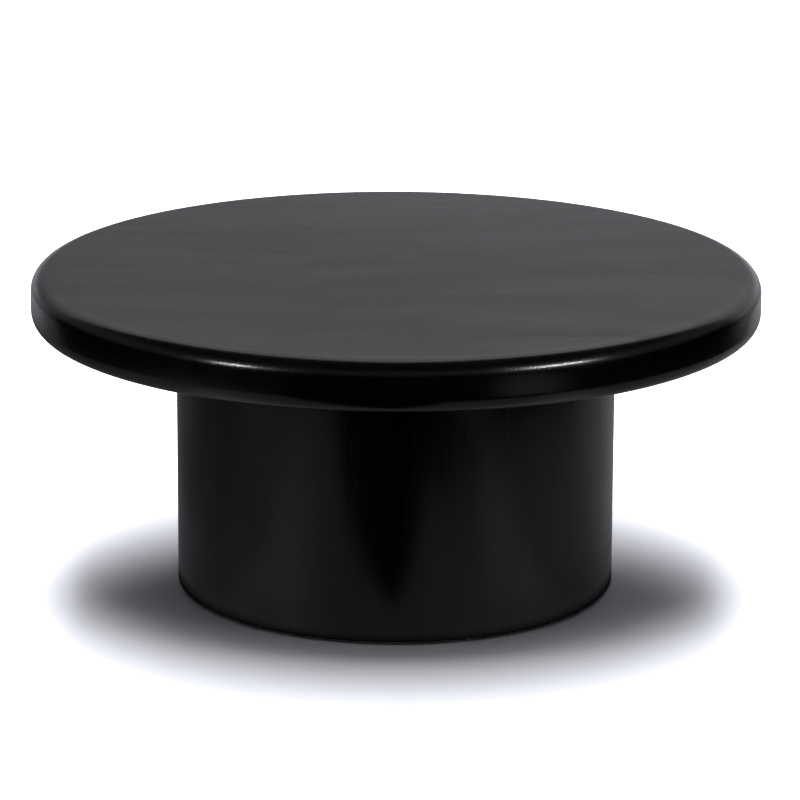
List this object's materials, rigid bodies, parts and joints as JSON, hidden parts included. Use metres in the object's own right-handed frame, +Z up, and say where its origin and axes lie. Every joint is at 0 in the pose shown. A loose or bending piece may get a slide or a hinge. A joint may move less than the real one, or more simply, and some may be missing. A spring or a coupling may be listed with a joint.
{
  "type": "round cocktail table",
  "caption": "Low round cocktail table: thick wooden top with softly rounded edges on a plain upright drum base of staves, on screw levellers.",
  "frame": {"origin": "on the floor, on the upright axis of the drum and the top", "axes": "+Z up, X along the boards of the top (left to right in the picture), -Y towards the viewer"},
  "size_m": [0.914, 0.914, 0.406],
  "materials": {
    "top_wood": "black stain under satin lacquer, grain along the boards",
    "drum_wood": "black stain under satin lacquer, grain upright",
    "plywood": "bare birch plywood",
    "zinc_steel": "bright zinc plate",
    "black_steel": "black oxide",
    "pad_plastic": "moulded, matt"
  },
  "bodies": {
    "table": {"top_board_1": "top_wood", "top_board_2": "top_wood", "top_board_3": "top_wood", "top_board_4": "top_wood", "top_board_5": "top_wood", "top_board_6": "top_wood", "top_board_7": "top_wood", "top_board_8": "top_wood", "drum_stave_01": "drum_wood", "drum_stave_02": "drum_wood", "drum_stave_03": "drum_wood", "drum_stave_04": "drum_wood", "drum_stave_05": "drum_wood", "drum_stave_06": "drum_wood", "drum_stave_07": "drum_wood", "drum_stave_08": "drum_wood", "drum_stave_09": "drum_wood", "drum_stave_10": "drum_wood", "drum_stave_11": "drum_wood", "drum_stave_12": "drum_wood", "drum_stave_13": "drum_wood", "drum_stave_14": "drum_wood", "drum_stave_15": "drum_wood", "drum_stave_16": "drum_wood", "drum_stave_17": "drum_wood", "drum_stave_18": "drum_wood", "drum_stave_19": "drum_wood", "drum_stave_20": "drum_wood", "drum_stave_21": "drum_wood", "drum_stave_22": "drum_wood", "drum_stave_23": "drum_wood", "drum_stave_24": "drum_wood", "drum_top_plate": "plywood", "drum_base_ring": "plywood", "plate_screws": "zinc_steel", "ring_screws": "zinc_steel", "top_bolts": "black_steel", "bolt_washers": "zinc_steel", "threaded_inserts": "zinc_steel", "leveller_nuts": "zinc_steel"},
    "foot_1": {"leveller_pad_1": "pad_plastic"},
    "stud_1": {"leveller_stud_1": "zinc_steel"},
    "foot_2": {"leveller_pad_2": "pad_plastic"},
    "stud_2": {"leveller_stud_2": "zinc_steel"},
    "foot_3": {"leveller_pad_3": "pad_plastic"},
    "stud_3": {"leveller_stud_3": "zinc_steel"},
    "foot_4": {"leveller_pad_4": "pad_plastic"},
    "stud_4": {"leveller_stud_4": "zinc_steel"}
  },
  "joints": [
    {"name": "leveller_1_height", "type": "slide", "parent": "table", "child": "foot_1", "axis": [0, 0, -1], "range_m": [0, 0.01]},
    {"name": "leveller_1_turn", "type": "hinge", "parent": "foot_1", "child": "stud_1", "pos_m": [0.15839, 0.15839, 0.0093], "axis": [0, 0, -1], "range_deg": [0, 2880]},
    {"name": "leveller_2_height", "type": "slide", "parent": "table", "child": "foot_2", "axis": [0, 0, -1], "range_m": [0, 0.01]},
    {"name": "leveller_2_turn", "type": "hinge", "parent": "foot_2", "child": "stud_2", "pos_m": [-0.15839, 0.15839, 0.0093], "axis": [0, 0, -1], "range_deg": [0, 2880]},
    {"name": "leveller_3_height", "type": "slide", "parent": "table", "child": "foot_3", "axis": [0, 0, -1], "range_m": [0, 0.01]},
    {"name": "leveller_3_turn", "type": "hinge", "parent": "foot_3", "child": "stud_3", "pos_m": [-0.15839, -0.15839, 0.0093], "axis": [0, 0, -1], "range_deg": [0, 2880]},
    {"name": "leveller_4_height", "type": "slide", "parent": "table", "child": "foot_4", "axis": [0, 0, -1], "range_m": [0, 0.01]},
    {"name": "leveller_4_turn", "type": "hinge", "parent": "foot_4", "child": "stud_4", "pos_m": [0.15839, -0.15839, 0.0093], "axis": [0, 0, -1], "range_deg": [0, 2880]}
  ],
  "couplings": [
    {"joint": "leveller_1_turn", "follows": "leveller_1_height", "rad_per_m": 5026.5},
    {"joint": "leveller_2_turn", "follows": "leveller_2_height", "rad_per_m": 5026.5},
    {"joint": "leveller_3_turn", "follows": "leveller_3_height", "rad_per_m": 5026.5},
    {"joint": "leveller_4_turn", "follows": "leveller_4_height", "rad_per_m": 5026.5}
  ]
}
